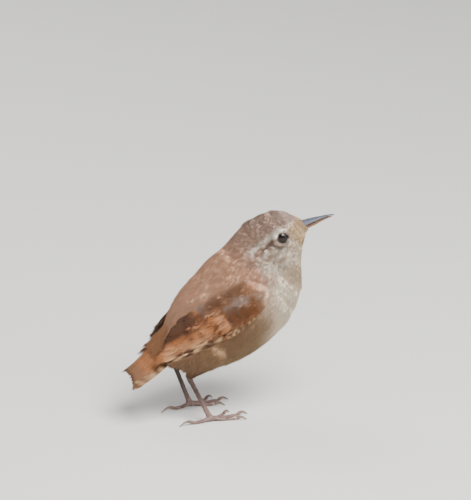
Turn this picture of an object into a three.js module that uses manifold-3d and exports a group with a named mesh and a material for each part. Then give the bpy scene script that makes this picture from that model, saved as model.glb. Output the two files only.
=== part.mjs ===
// A wren that stands on both feet with its head raised, life size, in millimetres.
// +X is the way the body heads, +Y is its left and +Z is up. The origin is the middle of the
// underside of the bounding box, on the floor between and ahead of the feet.
import * as THREE from "three";
import { mergeVertices } from "three/addons/utils/BufferGeometryUtils.js";
import Module from "manifold-3d";

const wasm = await Module();
wasm.setup();

const seam = 0.3; // gap between neighbouring pieces
const rad = THREE.MathUtils.degToRad;
const vec = (x, y, z) => new THREE.Vector3(x, y, z);

// Trunk, neck and head are one form along the line from the vent to the face.
const trunkVent = vec(-24, 0, 25);
const trunkFace = vec(27.5, 0, 67.5);
// distance along that line, rise of the middle, half depth, half width
const trunkStations = [
  [-1.5, -3.3, 3.3, 3.4],
  [1, -3.3, 7.0, 7.0],
  [7, -4.2, 11.1, 10.8],
  [14, -4.7, 15.1, 13.3],
  [21, -5.0, 17.3, 14.4],
  [28, -5.3, 18.3, 14.7],
  [35, -5.1, 18.8, 14.3],
  [41, -4.8, 18.4, 13.5],
  [47, -3.3, 17.5, 12.2],
  [53, -0.9, 15.8, 10.6],
  [58.3, 1.9, 11.8, 9.0],
  [62.5, 3.2, 8.9, 7.3],
  [66, 2.9, 6.1, 5.3],
  [68.6, 0.4, 2.0, 2.4],
];
const trunkRings = 30;
const trunkSides = 28;
const headTurn = rad(-13); // to the bird's right
const headPivot = vec(13, 0, 0);
const headTurnFrom = 42; // the turn grows between these distances along the trunk
const headTurnTo = 56;

// The head is parted from the neck, and the neck from the torso, by two sloping cuts.
const headCut = { at: vec(14, 0, 62.5), slope: rad(-13) };
const neckCut = { at: vec(12, 0, 55.5), slope: rad(-24) };

const eyeCentre = vec(19.5, 6.25, 66); // before the head turns, left side
const eyeRadius = 2.6;
const eyeOutward = vec(0.22, 0.96, 0.14).normalize();
const lidRadius = 2.35; // middle of the lids' ring
const lidThickness = 0.42;
const lidOffset = 2.0; // of the ring's plane from the eye's centre

const billBase = vec(26.6, 0, 67.9);
const billTip = vec(38.9, 0, 72.2);

const wristPoint = [8, 46.5]; // x and z of the wing's bend
const wingSlope = rad(30); // below the horizontal, towards the tail
const wingTipPlane = { at: [-28, 25], y: 8.3, slopeX: 0.26, slopeZ: -0.3 };

const tailRoot = vec(-15.8, 0, 40.6);
const tailSlope = rad(44);

const ankle = { x: -17.6, y: 9, z: 17.6 };
const footJoint = { x: -9.8, y: 9.2, z: 1.7 };
const leftFootBack = 1.8; // the left foot stands this much further back
const footYaw = rad(14);

// Geometry helpers

function smooth(t) {
  const s = THREE.MathUtils.clamp(t, 0, 1);
  return s * s * (3 - 2 * s);
}

// The row of a table at a place, by a smooth curve through its rows.
function rowAt(table, place) {
  let i = 0;
  while (i < table.length - 2 && table[i + 1][0] < place) i++;
  const at = (k) => table[THREE.MathUtils.clamp(k, 0, table.length - 1)];
  const [a, b] = [at(i), at(i + 1)];
  const span = b[0] - a[0];
  const t = THREE.MathUtils.clamp((place - a[0]) / span, 0, 1);
  const slope = (p, q, c) => (q[c] - p[c]) / (q[0] - p[0] || 1);
  return a.slice(1).map((value, k) => {
    const c = k + 1;
    const m0 = slope(at(i - 1), b, c) * span;
    const m1 = slope(a, at(i + 2), c) * span;
    const [t2, t3] = [t * t, t * t * t];
    return (
      (2 * t3 - 3 * t2 + 1) * value +
      (t3 - 2 * t2 + t) * m0 +
      (-2 * t3 + 3 * t2) * b[c] +
      (t3 - t2) * m1
    );
  });
}

function geometryFrom(points, triangles) {
  const flat = points.flatMap((p) => [p.x, p.y, p.z]);
  let volume = 0;
  for (const [a, b, c] of triangles) {
    volume += points[a].dot(points[b].clone().cross(points[c]));
  }
  const facing = volume > 0 ? triangles : triangles.map(([a, b, c]) => [a, c, b]);
  const geometry = new THREE.BufferGeometry();
  geometry.setAttribute("position", new THREE.Float32BufferAttribute(flat, 3));
  geometry.setIndex(facing.flat());
  return geometry;
}

// A closed skin over rings of points, with a point in the middle of each end.
function loft(rings) {
  const sides = rings[0].length;
  const points = rings.flat();
  const middle = (ring) =>
    ring.reduce((sum, p) => sum.add(p), vec(0, 0, 0)).divideScalar(ring.length);
  const first = points.push(middle(rings[0])) - 1;
  const last = points.push(middle(rings[rings.length - 1])) - 1;
  const triangles = [];
  for (let j = 0; j < sides; j++) {
    const next = (j + 1) % sides;
    for (let i = 0; i < rings.length - 1; i++) {
      const [a, b] = [i * sides + j, i * sides + next];
      triangles.push([a, b, b + sides], [a, b + sides, a + sides]);
    }
    const end = (rings.length - 1) * sides;
    triangles.push([first, next, j], [last, end + j, end + next]);
  }
  return geometryFrom(points, triangles);
}

// A closed plate from rows of columns of { top, bottom }, split alike on both faces.
function plate(rows) {
  const columns = rows[0].length;
  const points = rows.flat().flatMap(({ top, bottom }) => [top, bottom]);
  const top = (i, j) => 2 * (i * columns + j);
  const bottom = (i, j) => top(i, j) + 1;
  const triangles = [];
  const quad = (a, b, c, d) => triangles.push([a, b, c], [a, c, d]);
  const [lastRow, lastColumn] = [rows.length - 1, columns - 1];
  for (let i = 0; i < lastRow; i++) {
    for (let j = 0; j < lastColumn; j++) {
      quad(top(i, j), top(i, j + 1), top(i + 1, j + 1), top(i + 1, j));
      triangles.push([bottom(i, j), bottom(i + 1, j + 1), bottom(i, j + 1)]);
      triangles.push([bottom(i, j), bottom(i + 1, j), bottom(i + 1, j + 1)]);
    }
    quad(bottom(i, 0), top(i, 0), top(i + 1, 0), bottom(i + 1, 0));
    const j = lastColumn;
    quad(top(i, j), bottom(i, j), bottom(i + 1, j), top(i + 1, j));
  }
  for (let j = 0; j < lastColumn; j++) {
    quad(bottom(0, j), bottom(0, j + 1), top(0, j + 1), top(0, j));
    const i = lastRow;
    quad(top(i, j), top(i, j + 1), bottom(i, j + 1), bottom(i, j));
  }
  return geometryFrom(points, triangles);
}

function solid(geometry) {
  const bare = geometry.clone();
  bare.deleteAttribute("normal");
  bare.deleteAttribute("uv");
  const merged = mergeVertices(bare, 1e-4);
  return new wasm.Manifold(
    new wasm.Mesh({
      numProp: 3,
      vertProperties: merged.attributes.position.array,
      triVerts: new Uint32Array(merged.index.array),
    }),
  );
}

function largest(body) {
  return body.decompose().reduce((a, b) => (b.volume() > a.volume() ? b : a));
}

function union(bodies) {
  return bodies.reduce((a, b) => a.add(b));
}

function geometryOf(body) {
  const mesh = body.getMesh();
  const geometry = new THREE.BufferGeometry();
  const flat = new Float32Array(mesh.vertProperties);
  geometry.setAttribute("position", new THREE.BufferAttribute(flat, 3));
  geometry.setIndex(new THREE.BufferAttribute(new Uint32Array(mesh.triVerts), 1));
  return geometry;
}

// A ring of points round a centre, in the plane of two directions.
function ringOf(centre, across, up, halfAcross, halfUp, sides) {
  return Array.from({ length: sides }, (_, j) => {
    const angle = (2 * Math.PI * j) / sides;
    return centre
      .clone()
      .addScaledVector(across, Math.sin(angle) * halfAcross)
      .addScaledVector(up, Math.cos(angle) * halfUp);
  });
}

// Trunk, neck and head

const trunkLine = trunkFace.clone().sub(trunkVent).normalize();
const trunkUp = vec(-trunkLine.z, 0, trunkLine.x);

function turned(point, amount = 1) {
  return point
    .clone()
    .sub(headPivot)
    .applyAxisAngle(vec(0, 0, 1), headTurn * amount)
    .add(headPivot);
}

function headTurnAt(place) {
  return smooth((place - headTurnFrom) / (headTurnTo - headTurnFrom));
}

function trunkForm(grow) {
  const first = trunkStations[0][0];
  const last = trunkStations[trunkStations.length - 1][0];
  const rings = [];
  for (let i = 0; i <= trunkRings; i++) {
    const t = i / trunkRings;
    const place = first + (last - first) * (t + 0.07 * Math.sin(2 * Math.PI * t) * (t - 0.5));
    const [rise, depth, width] = rowAt(trunkStations, place);
    const centre = trunkVent
      .clone()
      .addScaledVector(trunkLine, place + grow * (2 * t - 1))
      .addScaledVector(trunkUp, rise);
    const ring = ringOf(centre, vec(0, 1, 0), trunkUp, width + grow, depth + grow, trunkSides);
    rings.push(ring.map((p) => turned(p, headTurnAt(place))));
  }
  return solid(loft(rings));
}

// Half the trunk's width at a point of the side view.
function trunkSide(x, z) {
  const from = vec(x, 0, z).sub(trunkVent);
  const place = THREE.MathUtils.clamp(from.dot(trunkLine), -1.5, 60);
  const [rise, depth, width] = rowAt(trunkStations, place);
  const height = (from.dot(trunkUp) - rise) / depth;
  const share = 1 - height * height;
  return width * Math.sqrt(0.5 * (share + Math.sqrt(share * share + 0.08)));
}

function cutSlab({ at, slope }) {
  const slab = new THREE.BoxGeometry(90, 90, seam);
  slab.rotateY(-slope).translate(at.x, at.y, at.z);
  return solid(slab);
}

function partedAtSlabs(body) {
  const pieces = body.subtract(cutSlab(headCut)).subtract(cutSlab(neckCut)).decompose();
  const height = (piece) => {
    const box = piece.boundingBox();
    return box.min[2] + box.max[2];
  };
  return pieces.sort((a, b) => height(a) - height(b));
}

function lidRing(side) {
  const outward = eyeOutward.clone();
  outward.y *= side;
  const centre = vec(eyeCentre.x, side * eyeCentre.y, eyeCentre.z);
  const ring = new THREE.TorusGeometry(lidRadius, lidThickness, 6, 18);
  ring.applyQuaternion(new THREE.Quaternion().setFromUnitVectors(vec(0, 0, 1), outward));
  centre.addScaledVector(outward, lidOffset);
  ring.translate(centre.x, centre.y, centre.z);
  return turnedGeometry(ring);
}

function turnedGeometry(geometry) {
  const positions = geometry.attributes.position;
  for (let i = 0; i < positions.count; i++) {
    const p = turned(vec(0, 0, 0).fromBufferAttribute(positions, i));
    positions.setXYZ(i, p.x, p.y, p.z);
  }
  return geometry;
}

function eyeBall(side, grow) {
  const ball = new THREE.SphereGeometry(eyeRadius + grow, 16, 11);
  ball.translate(eyeCentre.x, side * eyeCentre.y, eyeCentre.z);
  return solid(turnedGeometry(ball));
}

// Bill

const billLine = billTip.clone().sub(billBase).normalize();
const billUp = vec(-billLine.z, 0, billLine.x);
const billLength = billTip.distanceTo(billBase);
// share of the length, height of the ridge and of the mouth line over the bill's middle, half width
const upperBill = [
  [-0.22, 2.1, -1.5, 2.3],
  [0, 2.05, -1.3, 2.2],
  [0.14, 1.85, -0.55, 1.85],
  [0.3, 1.5, -0.05, 1.4],
  [0.5, 1.2, 0.1, 1.05],
  [0.75, 0.75, 0.1, 0.65],
  [0.93, 0.3, -0.05, 0.35],
  [1, 0.0, -0.25, 0.16],
];
// share of the length, height of the mouth line and of the keel, half width
const lowerBill = [
  [-0.22, -1.75, -2.6, 1.9],
  [0, -1.6, -2.45, 1.85],
  [0.14, -0.85, -1.95, 1.6],
  [0.3, -0.33, -1.45, 1.25],
  [0.5, -0.18, -1.05, 0.9],
  [0.75, -0.16, -0.68, 0.55],
  [0.93, -0.28, -0.52, 0.28],
];

function billHalf(table, steps, ridgeAtTop) {
  const rings = [];
  const first = table[0][0];
  const last = table[table.length - 1][0];
  for (let i = 0; i <= steps; i++) {
    const place = first + ((last - first) * i) / steps;
    const [top, bottom, width] = rowAt(table, place);
    const centre = billBase.clone().addScaledVector(billLine, place * billLength);
    const heights = ridgeAtTop
      ? [[0, top], [0.62, top * 0.62 + bottom * 0.38], [1, bottom + 0.12], [0.8, bottom]]
      : [[0, bottom], [0.62, bottom * 0.7 + top * 0.3], [1, top - 0.1], [0.8, top]];
    const half = heights.map(([share, height]) => [share * width, height]);
    const outline = [...half, ...half.slice(1).reverse().map(([y, h]) => [-y, h])];
    rings.push(
      outline.map(([y, height]) =>
        centre.clone().addScaledVector(billUp, height).add(vec(0, y, 0)),
      ),
    );
  }
  return solid(turnedGeometry(loft(rings)));
}

function nostril(side) {
  const slit = new THREE.SphereGeometry(1, 10, 6).scale(0.95, 0.5, 0.3);
  const centre = billBase
    .clone()
    .addScaledVector(billLine, 0.2 * billLength)
    .addScaledVector(billUp, 0.62);
  slit.rotateY(-Math.atan2(billLine.z, billLine.x));
  slit.translate(centre.x, side * 1.75, centre.z);
  return solid(turnedGeometry(slit));
}

// A feather's vane: share of its length, share of its half width
const vaneShape = [
  [0, 0.5],
  [0.3, 0.9],
  [0.68, 1],
  [0.9, 0.74],
  [1, 0.26],
];
const vaneThickness = 0.5;

// A vane from root to tip on a surface that is given as a function of along, across and lift.
// Its lower edge stands up and its upper edge is tucked under the next vane.
function vane(surface, { root, tip, half, lift, tilt }) {
  const line = [tip[0] - root[0], tip[1] - root[1]];
  const length = Math.hypot(...line);
  const normal = [-line[1] / length, line[0] / length];
  const rows = vaneShape.map(([t, share]) => {
    const height = lift[0] + (lift[1] - lift[0]) * t;
    return [-1, 1].map((edge) => {
      const along = root[0] + line[0] * t + normal[0] * edge * half * share;
      const across = root[1] + line[1] * t + normal[1] * edge * half * share;
      const raised = height - edge * tilt * share;
      return {
        top: surface(along, across, raised + vaneThickness / 2),
        bottom: surface(along, across, raised - vaneThickness / 2),
      };
    });
  });
  return solid(plate(rows));
}

// Wings. The side view's x and z carry the layout, and the wing's own surface gives the y.

const wingAlong = [-Math.cos(wingSlope), -Math.sin(wingSlope)];
const wingAcross = [-Math.sin(wingSlope), Math.cos(wingSlope)];

function wingY(x, z) {
  const { at, y, slopeX, slopeZ } = wingTipPlane;
  const plane = y + slopeX * (x - at[0]) + slopeZ * (z - at[1]);
  const body = trunkSide(x, z);
  const blend = 1.2;
  return blend * Math.log(Math.exp(plane / blend) + Math.exp(body / blend));
}

// A point of a wing: along it from the bend, across it, and raised off the body's side.
function wingPoint(side, along, across, lift) {
  const x = wristPoint[0] + along * wingAlong[0] + across * wingAcross[0];
  const z = wristPoint[1] + along * wingAlong[1] + across * wingAcross[1];
  const step = 0.4;
  const slopeX = (wingY(x + step, z) - wingY(x - step, z)) / (2 * step);
  const slopeZ = (wingY(x, z + step) - wingY(x, z - step)) / (2 * step);
  const outward = vec(-slopeX, 1, -slopeZ).normalize();
  const point = vec(x, wingY(x, z), z).addScaledVector(outward, lift);
  point.y *= side;
  return point;
}

// distance along the wing, middle across it, half width, thickness above the body
const wingCoreRows = [
  [-3, 1.6, 1.5, 0.8],
  [0, 2.2, 4.8, 1.9],
  [5, 2.8, 6.8, 2.2],
  [9, 2.9, 7.2, 1.6],
  [14, 2.7, 6.8, 1.1],
  [22, 1.9, 5.6, 1.0],
  [28, 1.4, 4.6, 0.9],
  [33, 0.9, 3.4, 0.8],
  [36, 0.4, 1.6, 0.6],
];

function wingCore(side) {
  const rings = [];
  const steps = 13;
  const corners = 10;
  const first = wingCoreRows[0][0];
  const last = wingCoreRows[wingCoreRows.length - 1][0];
  for (let i = 0; i <= steps; i++) {
    const along = first + ((last - first) * i) / steps;
    const [middle, half, height] = rowAt(wingCoreRows, along);
    rings.push(
      Array.from({ length: corners }, (_, j) => {
        const angle = (2 * Math.PI * j) / corners;
        const raised = height * Math.sin(angle) + seam;
        return wingPoint(side, along, middle + half * Math.cos(angle), raised);
      }),
    );
  }
  return solid(loft(rings));
}

// The tiers of a wing, from the flight feathers up to the shoulder. In each, the vanes are
// counted from the leading edge inwards, and each lies over the one before it.
const wingTiers = [
  {
    name: "primaries", count: 7, half: 1.75, tilt: 0.16,
    root: (i) => [8 + 0.5 * i, -4.1 + 0.55 * i],
    tip: (i) => [45 - 0.36 * (i - 2.7) ** 2, -2.0 + 0.6 * i],
    lift: (i) => [0.9, 0.75 + 0.11 * i],
  },
  {
    name: "secondaries", count: 5, half: 1.9, tilt: 0.16,
    root: (i) => [10, 0.2 + 0.9 * i],
    tip: (i) => [39.5 - 0.9 * i, 2.2 + 0.55 * i],
    lift: (i) => [1.0, 1.5 + 0.1 * i],
  },
  {
    name: "tertials", count: 3, half: 2.3, tilt: 0.2,
    root: (i) => [13 - i, 4.6 + 0.9 * i],
    tip: (i) => [34.2 - 3.2 * i, 4.9 + 0.8 * i],
    lift: (i) => [0.9, 1.8 + 0.1 * i],
  },
  {
    name: "primary coverts", count: 4, half: 1.15, tilt: 0.12,
    root: (i) => [4, -3.4 + 0.7 * i],
    tip: (i) => [18.5 - 0.8 * i, -4.0 + 0.9 * i],
    lift: (i) => [1.0, 1.6 + 0.08 * i],
  },
  {
    name: "greater coverts", count: 6, half: 1.45, tilt: 0.18,
    root: (i) => [6, -0.9 + 1.3 * i],
    tip: (i) => [19.6 - 0.35 * i, -1.4 + 1.6 * i],
    lift: (i) => [1.2, 1.95 + 0.08 * i],
  },
  {
    name: "alula", count: 2, half: 1.3, tilt: 0.12,
    root: (i) => [-0.6, -2.4 + 0.9 * i],
    tip: (i) => [11.8 - 3.2 * i, -4.2 + 1.3 * i],
    lift: (i) => [0.9, 2.1 + 0.2 * i],
  },
  {
    name: "median coverts", count: 5, half: 1.6, tilt: 0.18,
    root: (i) => [1, -1.0 + 1.7 * i],
    tip: (i) => [11.6 - 0.3 * i, -1.8 + 2.05 * i],
    lift: (i) => [1.2, 2.6 + 0.08 * i],
  },
  {
    name: "scapulars", count: 3, half: 2.0, tilt: 0.2,
    root: (i) => [5 + 2.5 * i, 6.9 + 0.6 * i],
    tip: (i) => [20 + 1.6 * i, 7.4 + 0.2 * i],
    lift: (i) => [0.9, 1.9 - 0.2 * i],
  },
];

function wing(side) {
  const surface = (along, across, lift) => wingPoint(side, along, across, lift);
  const vanes = wingTiers.flatMap(({ count, half, tilt, root, tip, lift }) =>
    Array.from({ length: count }, (_, i) =>
      vane(surface, { root: root(i), tip: tip(i), half, lift: lift(i), tilt }),
    ),
  );
  return union([wingCore(side), ...vanes]);
}

// Tail

const tailLine = vec(-Math.cos(tailSlope), 0, -Math.sin(tailSlope));
const tailUp = vec(-Math.sin(tailSlope), 0, Math.cos(tailSlope));
// distance along the tail, half width, half thickness, height of the middle
const tailCoreRows = [
  [3, 5.0, 3.3, -3.0],
  [8, 5.2, 2.9, -2.2],
  [12, 5.1, 2.0, -1.3],
  [16, 4.4, 1.0, -0.7],
  [19, 2.6, 0.5, -0.5],
];
// distance along the tail, fall of its sides for each millimetre out
const tailRoof = [
  [3, 0.2],
  [9, 0.4],
  [14, 0.62],
  [20, 0.72],
  [26, 0.5],
  [30, 0.34],
  [34, 0.25],
];

function tailPoint(along, across, lift) {
  const [fall] = rowAt(tailRoof, along);
  const drop = fall * (Math.sqrt(across * across + 1) - 1);
  return tailRoot
    .clone()
    .addScaledVector(tailLine, along)
    .addScaledVector(tailUp, lift - drop)
    .add(vec(0, across, 0));
}

function tailCore(grow) {
  const rings = [];
  const steps = 8;
  const corners = 14;
  const first = tailCoreRows[0][0];
  const last = tailCoreRows[tailCoreRows.length - 1][0];
  for (let i = 0; i <= steps; i++) {
    const along = first + ((last - first) * i) / steps;
    const [half, thick, rise] = rowAt(tailCoreRows, along);
    rings.push(
      Array.from({ length: corners }, (_, j) => {
        const angle = (2 * Math.PI * j) / corners;
        const raised = rise + (thick + grow) * Math.sin(angle);
        return tailPoint(along, (half + grow) * Math.cos(angle), raised);
      }),
    );
  }
  return solid(loft(rings));
}

// The tiers of the tail on one side, counted from the middle outwards, each under the one before.
const tailTiers = [
  {
    name: "tail feathers", count: 6, half: 2.1, tilt: 0.14,
    root: (i) => [6, 0.9 + 0.72 * i],
    tip: (i) => [31 + 0.15 * i, 1.5 + 1.38 * i],
    lift: (i) => [-0.9, -0.1 - 0.13 * i],
  },
  {
    name: "upper tail coverts", count: 3, half: 2.0, tilt: 0.14,
    root: (i) => [3, 0.9 + 1.5 * i],
    tip: (i) => [17.5 - 1.2 * i, 1.3 + 1.7 * i],
    lift: (i) => [-0.4, 0.75 - 0.12 * i],
  },
];

function tailFan() {
  const vanes = tailTiers.flatMap(({ count, half, tilt, root, tip, lift }) =>
    Array.from({ length: count }, (_, i) => i).flatMap((i) =>
      [-1, 1].map((side) => {
        const surface = (along, across, raised) => tailPoint(along, side * across, raised);
        return vane(surface, { root: root(i), tip: tip(i), half, lift: lift(i), tilt: -tilt });
      }),
    ),
  );
  return union([tailCore(0), ...vanes]);
}

// Room for the whole fan, so that the wings keep clear of it.
function tailRoom() {
  const rows = Array.from({ length: 7 }, (_, i) => {
    const along = 5 + 5 * i;
    const half = 4.6 + seam + 0.16 * along;
    return [-half, -half / 2, 0, half / 2, half].map((across) => ({
      top: tailPoint(along, across, 1.2 + seam),
      bottom: tailPoint(along, across, -1.3 - seam),
    }));
  });
  return solid(plate(rows)).add(tailCore(seam));
}

// Legs

// A tapered limb along points, each with its two half widths, no lower than the floor.
function limb(points, sides) {
  const rings = points.map(({ at, across, up }, i) => {
    const before = points[Math.max(0, i - 1)].at;
    const after = points[Math.min(points.length - 1, i + 1)].at;
    const line = after.clone().sub(before).normalize();
    const sideways = vec(-Math.sin(footYaw), Math.cos(footYaw), 0);
    sideways.addScaledVector(line, -sideways.dot(line)).normalize();
    const upward = line.clone().cross(sideways).normalize();
    const ring = ringOf(at, sideways, upward, across, up, sides);
    return ring.map((p) => vec(p.x, p.y, Math.max(0, p.z)));
  });
  return solid(loft(rings));
}

const anklePoint = (side) => vec(ankle.x, side * ankle.y, ankle.z);
const footPoint = (side) =>
  vec(footJoint.x - (side > 0 ? leftFootBack : 0), side * footJoint.y, footJoint.z);

function thigh(side) {
  const low = anklePoint(side);
  const high = vec(-7.5, side * 8.6, 28);
  const rows = [
    [0, 6.0, 6.6],
    [0.3, 5.6, 6.2],
    [0.55, 4.3, 4.8],
    [0.78, 2.8, 3.2],
    [0.93, 1.9, 2.1],
    [1, 1.3, 1.4],
  ];
  return limb(
    rows.map(([t, across, up]) => ({ at: high.clone().lerp(low, t), across, up })),
    14,
  );
}

const scutes = 8;
const limbSides = 8;

function shank(side, grow) {
  const top = anklePoint(side);
  const foot = footPoint(side);
  const line = foot.clone().sub(top).normalize();
  top.addScaledVector(line, 0.2 - grow);
  const rows = [];
  for (let i = 0; i < scutes; i++) {
    for (const [part, flare] of [[0.02, 1.0], [0.9, 1.13]]) {
      const t = (i + part) / scutes;
      const swell = 0.82 + 0.3 * Math.pow(2 * t - 1, 4);
      rows.push({
        at: top.clone().lerp(foot, t),
        across: 0.82 * swell * flare + grow,
        up: 1.02 * swell * flare + grow,
      });
    }
  }
  rows.push({ at: foot.clone().add(vec(0.2, 0, -0.2)), across: 1.35, up: 1.3 });
  rows.push({ at: foot.clone().add(vec(0.9, 0, -1.1)), across: 1.1, up: 0.9 });
  return limb(rows, limbSides);
}

// direction off the foot's own line, in degrees, length without the claw, claw length, half width
const toes = {
  hind: { angle: 177, length: 7.2, claw: 5.6, half: 0.78 },
  inner: { angle: 27, length: 8.2, claw: 3.8, half: 0.66 },
  middle: { angle: 2, length: 11.0, claw: 4.2, half: 0.72 },
  outer: { angle: -22, length: 8.8, claw: 3.8, half: 0.66 },
};
const toeRoot = 3.9; // the foot's own piece carries the toes this far
const clawSeam = 0.25;

// The middle of a toe at a distance from the foot's joint, low on the floor past its first arch.
function toePoint(side, shape, distance) {
  const foot = footPoint(side);
  const angle = footYaw - side * rad(shape.angle);
  const arch = 0.95 * Math.max(0, 1 - distance / 4.2);
  return vec(
    foot.x + 0.7 + Math.cos(angle) * distance,
    foot.y + Math.sin(angle) * distance,
    shape.half * 0.7 + arch,
  );
}

function toeSpan(side, shape, from, to, steps) {
  const rows = [];
  for (let i = 0; i <= steps; i++) {
    const distance = from + ((to - from) * i) / steps;
    const t = distance / shape.length;
    const pad = 1 + 0.13 * Math.cos(t * 3 * 2 * Math.PI + Math.PI);
    const half = shape.half * pad * (1.08 - 0.3 * t);
    rows.push({ at: toePoint(side, shape, distance), across: half, up: half });
  }
  return limb(rows, limbSides);
}

function tarsus(side) {
  const roots = Object.values(toes).map((shape) => toeSpan(side, shape, 0.2, toeRoot, 3));
  return union([shank(side, 0), ...roots]);
}

function toe(side, shape) {
  return toeSpan(side, shape, toeRoot + seam, shape.length, 6);
}

// A claw arches up from its toe and comes down to rest its point on the floor.
function claw(side, shape) {
  const rows = [];
  const steps = 6;
  for (let i = 0; i <= steps; i++) {
    const t = i / steps;
    const distance = shape.length + clawSeam + shape.claw * t;
    const half = 0.56 * (1 - t) + 0.14;
    const at = toePoint(side, shape, distance);
    const arch = 0.2 * shape.claw * Math.sin(Math.PI * Math.min(1, t + 0.04));
    at.z = half * 0.62 + arch + 0.12 * (1 - t);
    rows.push({ at, across: half * 0.75, up: half });
  }
  return limb(rows, limbSides);
}

// Materials

const plumage = (color) => new THREE.MeshStandardMaterial({ color, roughness: 0.85, metalness: 0 });
const materials = {
  back: plumage(0x8f5f40),
  breast: plumage(0xb39b7c),
  head: plumage(0x94765c),
  wing: plumage(0x87563a),
  tail: plumage(0x9a5f3e),
  thigh: plumage(0x9b7c5a),
  eye: new THREE.MeshStandardMaterial({ color: 0x0d0b0a, roughness: 0.08, metalness: 0 }),
  billUpper: new THREE.MeshStandardMaterial({ color: 0x4a4446, roughness: 0.4, metalness: 0 }),
  billLower: new THREE.MeshStandardMaterial({ color: 0xa9805a, roughness: 0.45, metalness: 0 }),
  leg: new THREE.MeshStandardMaterial({ color: 0x9a7668, roughness: 0.5, metalness: 0 }),
  claw: new THREE.MeshStandardMaterial({ color: 0x6d5548, roughness: 0.4, metalness: 0 }),
};

// Assembly

const wren = new THREE.Group();

function place(name, body, material) {
  const mesh = new THREE.Mesh(geometryOf(largest(body)), material);
  mesh.name = name;
  wren.add(mesh);
}

const sides = { right: -1, left: 1 };
const trunk = trunkForm(0);
const trunkClear = trunkForm(seam);
const tailClear = tailRoom();
let [torso, neck, head] = partedAtSlabs(trunk);

for (const side of Object.values(sides)) {
  head = head.add(solid(lidRing(side))).subtract(eyeBall(side, seam));
}
place("torso", torso, materials.breast);
place("neck", neck, materials.back);
place("head", head, materials.head);
place("tail", tailFan().subtract(trunkClear), materials.tail);

let upper = billHalf(upperBill, 14, true);
for (const side of Object.values(sides)) upper = upper.subtract(nostril(side));
place("bill_upper", upper.subtract(trunkClear), materials.billUpper);
place("bill_lower", billHalf(lowerBill, 12, false).subtract(trunkClear), materials.billLower);

for (const [name, side] of Object.entries(sides)) {
  place(`eye_${name}`, eyeBall(side, 0), materials.eye);
  place(`wing_${name}`, wing(side).subtract(trunkClear).subtract(tailClear), materials.wing);
  const leg = thigh(side).subtract(trunkClear).subtract(shank(side, seam));
  place(`thigh_${name}`, leg, materials.thigh);
  place(`tarsus_${name}`, tarsus(side), materials.leg);
  for (const [toeName, shape] of Object.entries(toes)) {
    place(`toe_${name}_${toeName}`, toe(side, shape), materials.leg);
    place(`claw_${name}_${toeName}`, claw(side, shape), materials.claw);
  }
}

const box = new THREE.Box3().setFromObject(wren, true);
const middle = box.getCenter(vec(0, 0, 0));
wren.position.set(-middle.x, -middle.y, -box.min.z);

export default wren;
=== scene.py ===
import math
import bpy
import numpy as np
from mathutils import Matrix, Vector


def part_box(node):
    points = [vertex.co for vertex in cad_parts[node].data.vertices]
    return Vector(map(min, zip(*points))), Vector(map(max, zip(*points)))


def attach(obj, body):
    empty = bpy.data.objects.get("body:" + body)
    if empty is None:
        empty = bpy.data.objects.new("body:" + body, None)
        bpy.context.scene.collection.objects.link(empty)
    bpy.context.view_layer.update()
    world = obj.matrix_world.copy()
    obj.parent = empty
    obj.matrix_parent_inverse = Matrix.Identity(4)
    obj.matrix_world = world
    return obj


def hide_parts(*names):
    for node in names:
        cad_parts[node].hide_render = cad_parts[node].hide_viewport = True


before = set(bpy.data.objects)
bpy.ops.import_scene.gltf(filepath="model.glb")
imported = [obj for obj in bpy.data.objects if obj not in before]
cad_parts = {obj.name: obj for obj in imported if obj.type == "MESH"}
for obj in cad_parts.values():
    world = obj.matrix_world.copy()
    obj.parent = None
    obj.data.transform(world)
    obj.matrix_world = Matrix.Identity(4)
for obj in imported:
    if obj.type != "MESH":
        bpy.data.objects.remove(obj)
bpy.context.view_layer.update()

print("wren: frame loaded")
mm = 0.001
rng = np.random.default_rng(20261125)


# small helpers

def unit(v):
    return v / np.maximum(np.linalg.norm(v, axis=-1, keepdims=True), 1e-9)


def smooth(t):
    t = np.clip(t, 0.0, 1.0)
    return t * t * (3 - 2 * t)


def bump(x, middle, half):  # 1 at the middle, 0 past the half width
    return smooth(1 - np.abs(x - middle) / half)


def srgb(code):
    c = np.array([int(code[i:i + 2], 16) for i in (1, 3, 5)]) / 255
    return np.where(c <= 0.04045, c / 12.92, ((c + 0.055) / 1.055) ** 2.4)


def rgba(code):
    return (*srgb(code), 1.0)


def mix(a, b, amount):
    amount = np.asarray(amount)[..., None]
    return a * (1 - amount) + b * amount


def deselect():
    if bpy.context.object and bpy.context.object.mode != "OBJECT":
        bpy.ops.object.mode_set(mode="OBJECT")
    bpy.ops.object.select_all(action="DESELECT")


def pick(*objs):
    deselect()
    for o in objs:
        o.select_set(True)
    bpy.context.view_layer.objects.active = objs[0]


def applyAll(obj):
    pick(obj)
    for m in list(obj.modifiers):
        bpy.ops.object.modifier_apply(modifier=m.name)


def dress(piece, material, slot, *replaced):  # finish, body, slot (not used) and the CAD nodes it stands for
    piece.data.materials.append(material)
    pick(piece)
    bpy.ops.object.transform_apply(location=True, rotation=True, scale=True)
    bpy.ops.object.shade_smooth()
    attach(piece, "root")
    if replaced:
        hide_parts(*replaced)
    return piece


def places(piece):  # the vertices' places in metres, one row each
    co = np.empty(len(piece.data.vertices) * 3)
    piece.data.vertices.foreach_get("co", co)
    return co.reshape(-1, 3)


def byTable(table, at):  # the later columns of a table, read at values of its first
    return [np.interp(at, table[:, 0], column) for column in table[:, 1:].T]


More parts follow.
